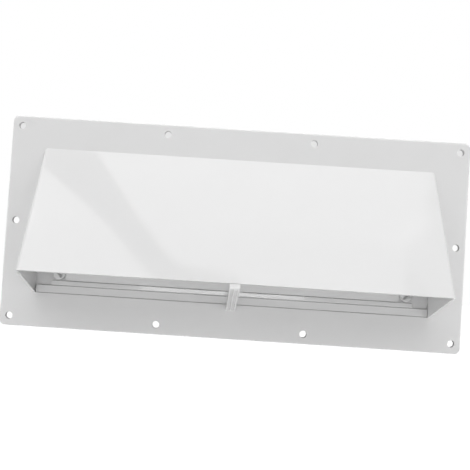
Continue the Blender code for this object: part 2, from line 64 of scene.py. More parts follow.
# Flange around the hood
FLANGE_SIDE_MARGIN = 24.5 * MM
FLANGE_TOP_MARGIN = 24.2 * MM
FLANGE_BOTTOM_MARGIN = 26.7 * MM
FLANGE_THICKNESS = 3.2 * MM
FLANGE_CORNER_RADIUS = 4.5 * MM
FLANGE_EDGE_RADIUS = 1.2 * MM

# Screw holes: two rows along the long edges, and one hole half way up each side
SCREW_HOLE_DIAMETER = 5.4 * MM
SCREW_EDGE_DISTANCE_X = 7.4 * MM
SCREW_EDGE_DISTANCE_Z = 7.7 * MM
SCREWS_PER_ROW = 4

# Ribbed strut from the middle of the lip back to the flange
STRUT_WIDTH = 7.3 * MM
STRUT_HEIGHT = 2.9 * MM
STRUT_RIB_WIDTH = 1.4 * MM
STRUT_GROOVE_DEPTH = 0.9 * MM
STRUT_GROOVE_START = 0.3 * MM
STRUT_FOOT_DROP = 1.9 * MM
STRUT_END_THICKNESS = 1.5 * MM
STRUT_TURN_BEHIND_LIP = 2.4 * MM
STRUT_ROOT_ABOVE_LIP = 1.7 * MM
STRUT_FACE_SETBACK = 0.1 * MM

# Ledge left at the back of the cover's opening, which the duct frame seats on
LEDGE_THICKNESS = 1.3 * MM
LEDGE_WIDTH = 4.0 * MM
SEAT_GAP = 0.3 * MM

# Duct frame: plate, sill and rail
PLATE_THICKNESS = 1.5 * MM
PLATE_CORNER_RADIUS = 3.0 * MM
SILL_HEIGHT = 5.7 * MM
SILL_JOINT = 0.4 * MM
SILL_SETBACK = 0.1 * MM
RAIL_BEYOND_TABS = 0.8 * MM
RAIL_HEIGHT = 3.4 * MM
RAIL_REACH = 1.0 * MM
RAIL_GROOVE = 0.5 * MM
RAIL_EDGE_RADIUS = 0.5 * MM
RAIL_FACE_TILT = radians(5.0)

# Damper flap, hung in two open ears on the plate
FLAP_THICKNESS = 1.6 * MM
FLAP_SIDE_OVERLAP = 2.8 * MM
FLAP_FOOT_OVERLAP = 4.6 * MM
FLAP_RAIL_CLEARANCE = 0.35 * MM
FLAP_CORNER_RADIUS = 2.0 * MM
FLAP_FIELD_MARGIN_X = 20.0 * MM
FLAP_FIELD_MARGIN_Z = 13.0 * MM
FLAP_FIELD_HEIGHT = 1.0 * MM
FLAP_FIELD_SLOPE = 2.0 * MM
FLAP_FIELD_RADIUS = 6.0 * MM
HINGE_ABOVE_MOUTH = 4.05 * MM
HINGE_PIN_DIAMETER = 2.4 * MM
HINGE_PIN_CLEARANCE = 0.25 * MM
HINGE_PIN_LENGTH = 3.1 * MM
HINGE_PIN_SETBACK = 0.1 * MM
EAR_WIDTH = 3.0 * MM
EAR_WALL = 1.1 * MM
EAR_SIDE_CLEARANCE = 0.5 * MM
EAR_MOUTH_WIDTH = 2.0 * MM

# Turn tabs that swing over the flap's lower corners
TAB_HUB_DIAMETER = 9.2 * MM
TAB_HUB_REACH = 2.1 * MM
TAB_HUB_CHAMFER = 0.6 * MM
TAB_FLAP_CLEARANCE = 0.4 * MM
TAB_RAIL_CLEARANCE = 0.6 * MM
TAB_LENGTH = 13.0 * MM
TAB_WIDTH = 5.4 * MM
TAB_THICKNESS = 1.2 * MM
TAB_OVER_FLAP = 0.4 * MM
TAB_SLOT_LENGTH = 6.4 * MM
TAB_SLOT_WIDTH = 1.2 * MM
TAB_SLOT_DEPTH = 0.5 * MM
TAB_SLOT_ANGLE = radians(45.0)
TAB_PIN_DIAMETER = 3.0 * MM
TAB_PIN_CLEARANCE = 0.3 * MM
TAB_BARB_DIAMETER = 4.6 * MM
TAB_BARB_LENGTH = 1.4 * MM
TAB_SPLIT_WIDTH = 0.8 * MM

# How far a cutter runs past what it cuts, and a pin into what it joins
OVERRUN = 1.0 * MM

# Places worked out from the sizes above, from the duct outwards
MOUTH_WIDTH = COLLAR_WIDTH - 2 * COLLAR_WALL
MOUTH_HEIGHT = COLLAR_HEIGHT - 2 * COLLAR_WALL
FLAP_WIDTH = MOUTH_WIDTH + 2 * FLAP_SIDE_OVERLAP
FLAP_BOTTOM_Z = -MOUTH_HEIGHT / 2 - FLAP_FOOT_OVERLAP
HINGE_Z = MOUTH_HEIGHT / 2 + HINGE_ABOVE_MOUTH
RAIL_TOP_Z = FLAP_BOTTOM_Z - FLAP_RAIL_CLEARANCE
RAIL_BOTTOM_Z = RAIL_TOP_Z - RAIL_HEIGHT
SILL_TOP_Z = RAIL_BOTTOM_Z - RAIL_GROOVE
SILL_BOTTOM_Z = SILL_TOP_Z - SILL_HEIGHT
TAB_X = FLAP_WIDTH / 2 + TAB_FLAP_CLEARANCE + TAB_HUB_DIAMETER / 2
TAB_Z = RAIL_TOP_Z + TAB_RAIL_CLEARANCE + TAB_HUB_DIAMETER / 2
RAIL_WIDTH = 2 * TAB_X + TAB_HUB_DIAMETER + 2 * RAIL_BEYOND_TABS
HOOD_TOP_Z = HINGE_Z + HOOD_TOP_ROOM
HOOD_BASE_Z = SILL_BOTTOM_Z - SILL_JOINT
HOOD_LIP_Z = HOOD_BASE_Z + HOOD_OPENING_RISE
HOOD_BASE_WIDTH = 2 * (TAB_X + HOOD_SIDE_ROOM + HOOD_WALL)
HOOD_TOP_WIDTH = HOOD_BASE_WIDTH - 2 * HOOD_TOP_DRAFT
HOOD_LIP_WIDTH = HOOD_BASE_WIDTH + 2 * HOOD_LIP_FLARE
FACE_SLOPE = HOOD_DEPTH / (HOOD_TOP_Z - HOOD_LIP_Z)
OPENING_SLOPE = HOOD_OPENING_RISE / HOOD_DEPTH
FACE_WALL_REACH = HOOD_WALL / cos(atan2(FACE_SLOPE, 1.0))
OPENING_TOP_Z = HOOD_TOP_Z - (FACE_WALL_REACH + INNER_SLOPE_START) / FACE_SLOPE
FLANGE_WIDTH = HOOD_BASE_WIDTH + 2 * FLANGE_SIDE_MARGIN
FLANGE_TOP_Z = HOOD_TOP_Z + FLANGE_TOP_MARGIN
FLANGE_BOTTOM_Z = HOOD_BASE_Z - FLANGE_BOTTOM_MARGIN
FLANGE_HEIGHT = FLANGE_TOP_Z - FLANGE_BOTTOM_Z
FLANGE_CENTRE_Z = (FLANGE_TOP_Z + FLANGE_BOTTOM_Z) / 2
FLANGE_FRONT_Y = -FLANGE_THICKNESS
PLATE_FRONT_Y = FLANGE_FRONT_Y + LEDGE_THICKNESS + SEAT_GAP
PLATE_BACK_Y = PLATE_FRONT_Y + PLATE_THICKNESS
FLAP_BACK_Y = PLATE_FRONT_Y - SEAT_GAP
FLAP_FRONT_Y = FLAP_BACK_Y - FLAP_THICKNESS
HINGE_Y = FLAP_BACK_Y - HINGE_PIN_SETBACK - HINGE_PIN_DIAMETER / 2

# What only the render has: a deep and slightly wider joint between sill and rail, and rounded edges
JOINT_GROOVE_DEPTH = 0.9 * MM
JOINT_WIDENING = 0.15 * MM
COVER_EDGE_ROUNDING = 0.35 * MM
FRAME_EDGE_ROUNDING = 0.2 * MM
FLAP_EDGE_ROUNDING = 0.2 * MM
TAB_EDGE_ROUNDING = 0.15 * MM
ROUNDING_SEGMENTS = 3

# Edges that bend more than this are rounded, and points closer than this are one place
EDGE_ANGLE = radians(20.0)
SAME_PLACE = 1e-6

# Fine facets for the render
CORNER_STEPS = 16
EDGE_STEPS = 6
HOOD_EDGE_STEPS = 12
ROUND_SEGMENTS = 64

# Camera, fitted to the photograph's flange corners, screw holes and hood corners
IMAGE_SIZE = 470
FOCAL_PIXELS = 578.74
SENSOR_MM = 36.0
PRINCIPAL_X = 205.96
PRINCIPAL_Y = 234.21
CAMERA_PLACE = Vector((-0.01928, -0.4484, -0.01367))
CAMERA_RIGHT = Vector((0.99791, 0.00545, 0.06432))
CAMERA_UP = Vector((-0.06415, -0.02734, 0.99757))
CAMERA_NEAR = 0.01
CAMERA_FAR = 50.0

# Soft lamps: name, place, what they face, width, height and watts
LAMPS = (
    ("top", (-0.15, -0.59, 1.8), (-0.15, 0.0, 0.0), 2.0, 1.2, 10.6),
    ("upper", (-0.15, -1.6, 1.4), (-0.15, 0.0, 0.0), 2.0, 1.0, 7.2),
    ("high_left", (-1.3, -1.0, 1.3), (0.0, 0.0, 0.0), 1.0, 1.0, 3.5),
    ("high_right", (1.3, -1.0, 1.3), (0.0, 0.0, 0.0), 1.0, 1.0, 2.3),
    ("low_left", (-1.5, -1.2, -0.08), (0.0, 0.0, -0.05), 1.5, 0.7, 3.4),
    ("low_right", (1.5, -1.2, -0.08), (0.0, 0.0, -0.05), 1.5, 0.7, 5.8),
    ("rear", (0.0, 1.8, 0.9), (0.0, 0.0, 0.0), 1.6, 1.2, 10.0),
)

# Strength of the world for the rays that light things
AMBIENT = 0.27

# A dark card overhead, given by its left and right edges in plan. The hood mirrors it as a diagonal band
BAND_CARD_HEIGHT = 1.2
BAND_CARD_GREY = 0.1
BAND_CARD_LEFT = ((-0.63, -0.59), (-0.38, -0.85), (-0.20, -1.10), (0.10, -1.13))
BAND_CARD_RIGHT = ((-0.41, -0.55), (-0.27, -0.82), (-0.13, -1.03), (0.09, -1.07))

# A low bright card in front, which only the rail's face mirrors towards the camera
RAIL_CARD_Y = -1.2
RAIL_CARD_X = (-0.21, 0.257)
RAIL_CARD_Z = (0.03, 0.12)
RAIL_CARD_GLOW = 5.0

# Small discs behind the screw holes, painted shade: a glowing grey that stands for the shaded backdrop
# seen through the top row, and dark discs that shade the bores of the others
HOLE_CARD_DIAMETER = 7.0 * MM
HOLE_CARD_Y = 0.4 * MM
# Glowing grey of the discs seen through the top row: painted shade of the backdrop
HOLE_BACKDROP_SHADE_GREY = 0.79
UPPER_HOLE_SHADE = 0.3
LOWER_HOLE_SHADE = 0.0

# Floor below the part. Its glow makes it white to the rays that see it, and lights nothing
FLOOR_SIZE = 12.0
FLOOR_Z = -0.45
FLOOR_GREY = 0.82
FLOOR_GLOW = 0.85

# Plastics: name, darkest and palest grey, roughness, coat and depth of the scattering below the surface
COVER_WHITE = ("cover_white", 0.86, 0.88, 0.33, 0.8, 1.0 * MM)
INNER_WHITE = ("inner_white", 0.82, 0.84, 0.35, 1.0, 0.5 * MM)
# The flap's greys are paler than the other parts' white: painted light, brightening the flap in the
# hood's shade
FLAP_LIT_WHITE = ("flap_lit_white", 0.89, 0.91, 0.35, 1.0, 0.6 * MM)
TAB_WHITE = ("tab_white", 0.88, 0.90, 0.35, 0.8, 1.5 * MM)
PLASTIC_IOR = 1.5
COAT_ROUGHNESS = 0.06
ROUGHNESS_SPREAD = 0.03
FLOW_SCALE = 26.0
FLOW_DETAIL = 4.0
SKIN_SCALE = 1800.0
SKIN_DETAIL = 3.0
SKIN_STRENGTH = 0.12
SKIN_HEIGHT = 0.03 * MM


def at_reach(reach):
    """The Y of a point this far out of the flange's front face."""
    return FLANGE_FRONT_Y - reach


def cheek_half_width(reach, z, inset=0.0):
    """Half the hood's width at this reach and height, less an inset for the cheeks' inner faces."""
    lean_up = (HOOD_TOP_WIDTH - HOOD_BASE_WIDTH) / 2 / (HOOD_TOP_Z - HOOD_BASE_Z)
    at_lip_height = HOOD_BASE_WIDTH / 2 + lean_up * (HOOD_LIP_Z - HOOD_BASE_Z)
    lean_out = (HOOD_LIP_WIDTH / 2 - at_lip_height) / HOOD_DEPTH
    return HOOD_BASE_WIDTH / 2 + lean_up * (z - HOOD_BASE_Z) + lean_out * reach - inset


def rounded_rectangle(width, height, radius, y, centre_z=0.0):
    """The points of an upright rectangle with round corners, in the plane at this Y."""
    points = []
    for turn, (side_x, side_z) in enumerate(((1, 1), (-1, 1), (-1, -1), (1, -1))):
        corner_x = side_x * (width / 2 - radius)
        corner_z = centre_z + side_z * (height / 2 - radius)
        for step in range(CORNER_STEPS + 1):
            angle = (turn + step / CORNER_STEPS) * pi / 2
            points.append(Vector((corner_x + radius * cos(angle), y, corner_z + radius * sin(angle))))
    return points


def loft(bm, loops):
    rings = [[bm.verts.new(point) for point in loop] for loop in loops]
    count = len(rings[0])
    for lower, upper in zip(rings, rings[1:]):
        for i in range(count):
            j = (i + 1) % count
            bm.faces.new((lower[i], lower[j], upper[j], upper[i]))
    bm.faces.new(rings[0])
    bm.faces.new(rings[-1])
    bmesh.ops.recalc_face_normals(bm, faces=bm.faces)
    return bm


def lofted(*loops):
    return loft(bmesh.new(), loops)


def box(low, high):
    bm = bmesh.new()
    size = Vector(high) - Vector(low)
    centre = (Vector(high) + Vector(low)) / 2
    bmesh.ops.create_cube(bm, size=1.0, matrix=Matrix.Translation(centre) @ Matrix.Diagonal((*size, 1.0)))
    return bm


def rod(start, end, diameter, end_diameter=None):
    bm = bmesh.new()
    axis = Vector(end) - Vector(start)
    turn = axis.to_track_quat("Z", "Y").to_matrix().to_4x4()
    centre = (Vector(start) + Vector(end)) / 2
    bmesh.ops.create_cone(
        bm,
        cap_ends=True,
        segments=ROUND_SEGMENTS,
        radius1=diameter / 2,
        radius2=(diameter if end_diameter is None else end_diameter) / 2,
        depth=axis.length,
        matrix=Matrix.Translation(centre) @ turn,
    )
    return bm


def merged(*parts):
    bm = bmesh.new()
    for part in parts:
        mesh = bpy.data.meshes.new("shell")
        part.to_mesh(mesh)
        part.free()
        bm.from_mesh(mesh)
        bpy.data.meshes.remove(mesh)
    return bm


def prism_across(profile, half_width_at, centre_x=0.0):
    """A solid between two mirrored sides. Each point of the profile is a reach and a height."""
    sides = []
    for side in (-1, 1):
        loop = []
        for reach, z in profile:
            loop.append(Vector((centre_x + side * half_width_at(reach, z), at_reach(reach), z)))
        sides.append(loop)
    return lofted(*sides)


def to_object(name, bm):
    mesh = bpy.data.meshes.new(name)
    bm.to_mesh(mesh)
    bm.free()
    item = bpy.data.objects.new(name, mesh)
    bpy.context.scene.collection.objects.link(item)
    return item


def carved(name, base, steps, rounding, sharp_y=None):
    """A piece made by joining and cutting solids in turn, whose edges are then rounded.

    Edges in the plane sharp_y stay sharp, because a rounding there would widen a joint.
    """
    item = to_object(name, base)
    helpers = []
    for i, (operation, solid) in enumerate(steps):
        helper = to_object(f"{name}_{i}", solid)
        helpers.append(helper)
        modifier = item.modifiers.new(f"step{i}", "BOOLEAN")
        modifier.operation = operation
        modifier.solver = "EXACT"
        modifier.object = helper
    graph = bpy.context.evaluated_depsgraph_get()
    mesh = bpy.data.meshes.new_from_object(item.evaluated_get(graph))
    item.modifiers.clear()
    item.data = mesh
    mesh.name = name
    for helper in helpers:
        bpy.data.objects.remove(helper)
    bm = bmesh.new()
    bm.from_mesh(mesh)
    corners = []
    for line in bm.edges:
        in_plane = sharp_y is not None
        in_plane = in_plane and all(abs(vert.co.y - sharp_y) < SAME_PLACE for vert in line.verts)
        if not in_plane and line.calc_face_angle(0.0) > EDGE_ANGLE:
            corners.append(line)
    bmesh.ops.bevel(
        bm,
        geom=corners,
        offset=rounding,
        segments=ROUNDING_SEGMENTS,
        profile=0.5,
        affect="EDGES",
        clamp_overlap=True,
    )
    bm.to_mesh(mesh)
    bm.free()
    mesh.shade_smooth()
    weighted = item.modifiers.new("normals", "WEIGHTED_NORMAL")
    weighted.keep_sharp = True
    return item


def round_face_edges(bm, profile_ends, radius):
    """Rounds the two long edges where the hood's sloping face meets its cheeks."""
    edges = []
    for edge in bm.edges:
        a, b = (vert.co for vert in edge.verts)
        slopes = a.x * b.x > 0 and abs(a.y - b.y) > radius
        ends = sorted((a.z, b.z))
        if slopes and all(abs(end - z) < SAME_PLACE for end, z in zip(ends, sorted(profile_ends))):
            edges.append(edge)
    bmesh.ops.bevel(bm, geom=edges, offset=radius, segments=HOOD_EDGE_STEPS, profile=0.5, affect="EDGES")
    return bm


def flange_plate():
    def outline(inset, y):
        width = FLANGE_WIDTH - 2 * inset
        height = FLANGE_HEIGHT - 2 * inset
        return rounded_rectangle(width, height, FLANGE_CORNER_RADIUS - inset, y, FLANGE_CENTRE_Z)

    loops = [outline(0.0, 0.0)]
    for step in range(EDGE_STEPS + 1):
        angle = step / EDGE_STEPS * pi / 2
        y = FLANGE_FRONT_Y + FLANGE_EDGE_RADIUS * (1 - sin(angle))
        loops.append(outline(FLANGE_EDGE_RADIUS * (1 - cos(angle)), y))
    return lofted(*loops)


def hood_outside():
    sink = FLANGE_THICKNESS / 2
    top = (-sink, HOOD_TOP_Z + sink / FACE_SLOPE)
    lip = (HOOD_DEPTH, HOOD_LIP_Z)
    base = (-sink, HOOD_BASE_Z - sink * OPENING_SLOPE)
    solid = prism_across((top, lip, base), cheek_half_width)
    return round_face_edges(solid, (top[1], lip[1]), HOOD_EDGE_RADIUS)


def hood_inside():
    def half_width(reach, z):
        return cheek_half_width(reach, z, HOOD_WALL)

    back = -(FLANGE_THICKNESS + OVERRUN)
    bottom_reach = (HOOD_TOP_Z - HOOD_BASE_Z) * FACE_SLOPE - FACE_WALL_REACH
    profile = (
        (back, OPENING_TOP_Z),
        (INNER_SLOPE_START, OPENING_TOP_Z),
        (bottom_reach, HOOD_BASE_Z),
        (back, HOOD_BASE_Z),
    )
    solid = prism_across(profile, half_width)
    return round_face_edges(solid, (OPENING_TOP_Z, HOOD_BASE_Z), HOOD_INNER_RADIUS)


def opening_half_width():
    return cheek_half_width(0.0, HOOD_BASE_Z, HOOD_WALL)


def seat_outline(grow, y):
    width = 2 * (opening_half_width() + LEDGE_WIDTH + grow)
    height = OPENING_TOP_Z - HOOD_BASE_Z + 2 * (LEDGE_WIDTH + grow)
    centre_z = (OPENING_TOP_Z + HOOD_BASE_Z) / 2
    return rounded_rectangle(width, height, PLATE_CORNER_RADIUS + grow, y, centre_z)


def screw_places():
    half_span = FLANGE_WIDTH / 2 - SCREW_EDGE_DISTANCE_X
    places = [(-half_span, FLANGE_CENTRE_Z), (half_span, FLANGE_CENTRE_Z)]
    for z in (FLANGE_BOTTOM_Z + SCREW_EDGE_DISTANCE_Z, FLANGE_TOP_Z - SCREW_EDGE_DISTANCE_Z):
        for i in range(SCREWS_PER_ROW):
            places.append((half_span * (2 * i / (SCREWS_PER_ROW - 1) - 1), z))
    return places


def screw_holes():
    holes = []
    for x, z in screw_places():
        holes.append(rod((x, OVERRUN, z), (x, FLANGE_FRONT_Y - OVERRUN, z), SCREW_HOLE_DIAMETER))
    return merged(*holes)


def strut_top_z(reach):
    foot_z = HOOD_BASE_Z - STRUT_FOOT_DROP
    return foot_z + (HOOD_LIP_Z - foot_z) * reach / HOOD_DEPTH


def strut_under_z(reach):
    return strut_top_z(reach) - STRUT_HEIGHT


def strut_face_reach(z):
    return HOOD_DEPTH - STRUT_FACE_SETBACK + (HOOD_LIP_Z - z) * FACE_SLOPE


def strut_body():
    foot = -FLANGE_THICKNESS / 4
    neck = HOOD_DEPTH - STRUT_TURN_BEHIND_LIP
    root_z = HOOD_LIP_Z + STRUT_ROOT_ABOVE_LIP
    end_z = HOOD_LIP_Z - STRUT_HEIGHT
    profile = (
        (foot, strut_top_z(foot)),
        (neck, strut_top_z(neck)),
        (strut_face_reach(root_z) - FACE_WALL_REACH / 2, root_z),
        (strut_face_reach(root_z), root_z),
        (strut_face_reach(end_z), end_z),
        (foot, strut_under_z(foot)),
    )
    return prism_across(profile, lambda reach, z: STRUT_WIDTH / 2)


def strut_grooves():
    width = (STRUT_WIDTH - 3 * STRUT_RIB_WIDTH) / 2
    ends = (STRUT_GROOVE_START, HOOD_DEPTH - STRUT_END_THICKNESS)
    profile = [(reach, strut_under_z(reach) - OVERRUN) for reach in ends]
    profile += [(reach, strut_under_z(reach) + STRUT_GROOVE_DEPTH) for reach in reversed(ends)]
    shells = []
    for side in (-1, 1):
        centre_x = side * (STRUT_RIB_WIDTH + width) / 2
        shells.append(prism_across(profile, lambda reach, z: width / 2, centre_x))
    return merged(*shells)


def make_cover():
    ledge_y = FLANGE_FRONT_Y + LEDGE_THICKNESS
    seat = lofted(seat_outline(SEAT_GAP, OVERRUN), seat_outline(SEAT_GAP, ledge_y))
    steps = (
        ("DIFFERENCE", screw_holes()),
        ("UNION", hood_outside()),
        ("DIFFERENCE", hood_inside()),
        ("DIFFERENCE", seat),
        ("UNION", strut_body()),
        ("DIFFERENCE", strut_grooves()),
    )
    return carved("cover_moulding", flange_plate(), steps, COVER_EDGE_ROUNDING, ledge_y)


def collar_solid(width, height, radius, front_y, back_y, lead_in=0.0):
    loops = [rounded_rectangle(width, height, radius, front_y)]
    loops.append(rounded_rectangle(width, height, radius, back_y - lead_in))
    if lead_in > 0:
        loops.append(rounded_rectangle(width - lead_in, height - lead_in, radius - lead_in / 2, back_y))
    return lofted(*loops)


def rail():
    back_y = PLATE_FRONT_Y + PLATE_THICKNESS / 2
    front_y = at_reach(RAIL_REACH)
    centre_z = (RAIL_BOTTOM_Z + RAIL_TOP_Z) / 2
    height = RAIL_TOP_Z - RAIL_BOTTOM_Z
    loops = [rounded_rectangle(RAIL_WIDTH, height, RAIL_EDGE_RADIUS, back_y, centre_z)]
    for step in range(EDGE_STEPS):
        angle = step / EDGE_STEPS * pi / 2
        inset = RAIL_EDGE_RADIUS * (1 - cos(angle))
        y = front_y + RAIL_EDGE_RADIUS * (1 - sin(angle))
        radius = RAIL_EDGE_RADIUS - inset
        loop = rounded_rectangle(RAIL_WIDTH - 2 * inset, height - 2 * inset, radius, y, centre_z)
        for point in loop:
            point.y += (point.z - centre_z) * tan(RAIL_FACE_TILT)
        loops.append(loop)
    return lofted(*loops)


def ear(side):
    """An open ear on the plate: a C round the bore that the flap's pin snaps into."""
    hole_radius = HINGE_PIN_DIAMETER / 2 + HINGE_PIN_CLEARANCE
    outer_radius = hole_radius + EAR_WALL
    outer_start = asin(EAR_MOUTH_WIDTH / 2 / outer_radius)
    hole_start = asin(EAR_MOUTH_WIDTH / 2 / hole_radius)
    foot_y = PLATE_FRONT_Y + PLATE_THICKNESS / 2

    def arc(radius, start, end, steps):
        for step in range(steps + 1):
            angle = start + (end - start) * step / steps
            yield HINGE_Y - radius * cos(angle), HINGE_Z + radius * sin(angle)

    outline = [*arc(outer_radius, -pi / 2, -outer_start, CORNER_STEPS)]
    outline += arc(hole_radius, -hole_start, hole_start - 2 * pi, ROUND_SEGMENTS)
    outline += arc(outer_radius, outer_start, pi / 2, CORNER_STEPS)
    outline += [(foot_y, HINGE_Z + outer_radius), (foot_y, HINGE_Z - outer_radius)]
    inner_x = side * (FLAP_WIDTH / 2 + EAR_SIDE_CLEARANCE)
    sides = (inner_x, inner_x + side * EAR_WIDTH)
    return lofted(*([Vector((x, y, z)) for y, z in outline] for x in sides))


def make_duct_frame():
    half = opening_half_width() - SILL_JOINT
    joint_z = SILL_TOP_Z - JOINT_WIDENING
    middle_y = PLATE_BACK_Y - PLATE_THICKNESS / 2
    sill = box((-half, at_reach(-SILL_SETBACK), SILL_BOTTOM_Z), (half, middle_y, joint_z))
    pin_holes = []
    for side in (-1, 1):
        back = (side * TAB_X, PLATE_BACK_Y + OVERRUN, TAB_Z)
        front = (side * TAB_X, PLATE_FRONT_Y - OVERRUN, TAB_Z)
        pin_holes.append(rod(back, front, TAB_PIN_DIAMETER + 2 * TAB_PIN_CLEARANCE))
    outside = collar_solid(
        COLLAR_WIDTH, COLLAR_HEIGHT, COLLAR_CORNER_RADIUS, middle_y, COLLAR_LENGTH, COLLAR_LEAD_IN
    )
    bore_radius = COLLAR_CORNER_RADIUS - COLLAR_WALL
    bore = collar_solid(
        MOUTH_WIDTH, MOUTH_HEIGHT, bore_radius, PLATE_FRONT_Y - OVERRUN, COLLAR_LENGTH + OVERRUN
    )
    groove_back_y = PLATE_FRONT_Y + JOINT_GROOVE_DEPTH
    groove = box((-half, PLATE_FRONT_Y - OVERRUN, joint_z), (half, groove_back_y, RAIL_BOTTOM_Z))
    steps = (
        ("DIFFERENCE", groove),
        ("UNION", outside),
        ("DIFFERENCE", bore),
        ("UNION", sill),
        ("UNION", rail()),
        ("UNION", ear(-1)),
        ("UNION", ear(1)),
        ("DIFFERENCE", merged(*pin_holes)),
    )
    plate = lofted(seat_outline(0.0, PLATE_BACK_Y), seat_outline(0.0, PLATE_FRONT_Y))
    return carved("frame_moulding", plate, steps, FRAME_EDGE_ROUNDING)


def field(base_y, overrun_y, rise):
    """The raised middle of the flap, as a solid to add in front or to cut out behind."""
    centre_z = (FLAP_BOTTOM_Z + HINGE_Z) / 2
    width = FLAP_WIDTH - 2 * FLAP_FIELD_MARGIN_X
    height = HINGE_Z - FLAP_BOTTOM_Z - 2 * FLAP_FIELD_MARGIN_Z
    slope = 2 * FLAP_FIELD_SLOPE
    top_radius = FLAP_FIELD_RADIUS - FLAP_FIELD_SLOPE
    return lofted(
        rounded_rectangle(width, height, FLAP_FIELD_RADIUS, overrun_y, centre_z),
        rounded_rectangle(width, height, FLAP_FIELD_RADIUS, base_y, centre_z),
        rounded_rectangle(width - slope, height - slope, top_radius, base_y - rise, centre_z),
    )


def make_flap():
    centre_z = (FLAP_BOTTOM_Z + HINGE_Z) / 2
    height = HINGE_Z - FLAP_BOTTOM_Z
    panel = lofted(
        rounded_rectangle(FLAP_WIDTH, height, FLAP_CORNER_RADIUS, FLAP_BACK_Y, centre_z),
        rounded_rectangle(FLAP_WIDTH, height, FLAP_CORNER_RADIUS, FLAP_FRONT_Y, centre_z),
    )
    half = FLAP_WIDTH / 2 + HINGE_PIN_LENGTH
    steps = (
        ("UNION", field(FLAP_FRONT_Y, FLAP_FRONT_Y + FLAP_THICKNESS / 2, FLAP_FIELD_HEIGHT)),
        ("DIFFERENCE", field(FLAP_BACK_Y, FLAP_BACK_Y + OVERRUN, FLAP_FIELD_HEIGHT)),
        ("UNION", rod((-half, HINGE_Y, HINGE_Z), (half, HINGE_Y, HINGE_Z), HINGE_PIN_DIAMETER)),
    )
    return carved("flap_moulding", panel, steps, FLAP_EDGE_ROUNDING)


def make_tab(name, side):
    """A slotted hub on a split pin through the plate, with a lever that can turn over the flap."""

    def at(x, y, z):
        return (side * TAB_X + x, y, TAB_Z + z)

    hub_back = PLATE_FRONT_Y - SEAT_GAP
    hub_front = at_reach(TAB_HUB_REACH)
    lever_back = FLAP_FRONT_Y - TAB_OVER_FLAP
    lever_front = lever_back - TAB_THICKNESS
    end_radius = TAB_WIDTH / 2
    outline = [(-end_radius, 0.0)]
    for step in range(2 * CORNER_STEPS + 1):
        angle = pi - step / (2 * CORNER_STEPS) * pi
        outline.append((end_radius * cos(angle), TAB_LENGTH - end_radius + end_radius * sin(angle)))
    outline.append((end_radius, 0.0))
    lever = lofted(*([Vector(at(x, y, z)) for x, z in outline] for y in (lever_back, lever_front)))
    barb_front = PLATE_BACK_Y + SEAT_GAP
    barb_back = barb_front + TAB_BARB_LENGTH
    barb_middle = barb_front + TAB_BARB_LENGTH / 2
    pin = rod(at(0.0, hub_back - OVERRUN, 0.0), at(0.0, barb_middle, 0.0), TAB_PIN_DIAMETER)
    barb = rod(at(0.0, barb_front, 0.0), at(0.0, barb_back, 0.0), TAB_BARB_DIAMETER, TAB_PIN_DIAMETER)
    split = box(
        at(-TAB_SPLIT_WIDTH / 2, hub_back, -TAB_BARB_DIAMETER),
        at(TAB_SPLIT_WIDTH / 2, barb_back + OVERRUN, TAB_BARB_DIAMETER),
    )
    slot = box(
        at(-TAB_SLOT_WIDTH / 2, hub_front - OVERRUN, -TAB_SLOT_LENGTH / 2),
        at(TAB_SLOT_WIDTH / 2, hub_front + TAB_SLOT_DEPTH, TAB_SLOT_LENGTH / 2),
    )
    turn = Matrix.Rotation(side * TAB_SLOT_ANGLE, 3, "Y")
    bmesh.ops.rotate(slot, cent=at(0.0, 0.0, 0.0), matrix=turn, verts=slot.verts)
    steps = (
        ("UNION", lever),
        ("UNION", pin),
        ("UNION", barb),
        ("DIFFERENCE", split),
        ("DIFFERENCE", slot),
    )
    hub = []
    radius = TAB_HUB_DIAMETER / 2
    chamfer = TAB_HUB_CHAMFER
    angles = [2 * pi * step / ROUND_SEGMENTS for step in range(ROUND_SEGMENTS)]
    for ring, y in ((radius, hub_back), (radius, hub_front + chamfer), (radius - chamfer, hub_front)):
        hub.append([Vector(at(ring * cos(angle), y, ring * sin(angle))) for angle in angles])
    return carved(name, lofted(*hub), steps, TAB_EDGE_ROUNDING)


def make_camera():
    data = bpy.data.cameras.new("camera")
    data.sensor_width = SENSOR_MM
    data.lens = FOCAL_PIXELS * SENSOR_MM / IMAGE_SIZE
    data.shift_x = (IMAGE_SIZE / 2 - PRINCIPAL_X) / IMAGE_SIZE
    data.shift_y = (PRINCIPAL_Y - IMAGE_SIZE / 2) / IMAGE_SIZE
    data.clip_start = CAMERA_NEAR
    data.clip_end = CAMERA_FAR
    camera = bpy.data.objects.new("camera", data)
    right = CAMERA_RIGHT.normalized()
    back = right.cross(CAMERA_UP).normalized()
    up = back.cross(right)
    turn = Matrix((right, up, back)).transposed()
    camera.matrix_world = Matrix.Translation(CAMERA_PLACE) @ turn.to_4x4()
    bpy.context.scene.collection.objects.link(camera)
    bpy.context.scene.camera = camera


def area_light(name, place, aim, width, height, power):
    data = bpy.data.lights.new(name, "AREA")
    data.shape = "RECTANGLE"
    data.size = width
    data.size_y = height
    data.energy = power
    lamp = bpy.data.objects.new(name, data)
    lamp.location = place
    lamp.rotation_euler = (Vector(aim) - Vector(place)).to_track_quat("-Z", "Y").to_euler()
    bpy.context.scene.collection.objects.link(lamp)


def grey(value):
    return (value, value, value, 1.0)


def new_material(name, keep_nodes=False):
    material = bpy.data.materials.new(name)
    material.use_nodes = True
    if not keep_nodes:
        material.node_tree.nodes.clear()
    return material, material.node_tree.nodes, material.node_tree.links


def only_mirrored(card):
    """A stage card that glossy rays alone meet, so that it neither lights nor shades the part."""
    card.visible_camera = False
    card.visible_diffuse = False
    card.visible_transmission = False
    card.visible_shadow = False


def glow_material(name, value, strength):
    material, nodes, links = new_material(name)
    glow = nodes.new("ShaderNodeEmission")
    glow.inputs["Color"].default_value = grey(value)
    glow.inputs["Strength"].default_value = strength
    out = nodes.new("ShaderNodeOutputMaterial")
    links.new(glow.outputs[0], out.inputs["Surface"])
    return material


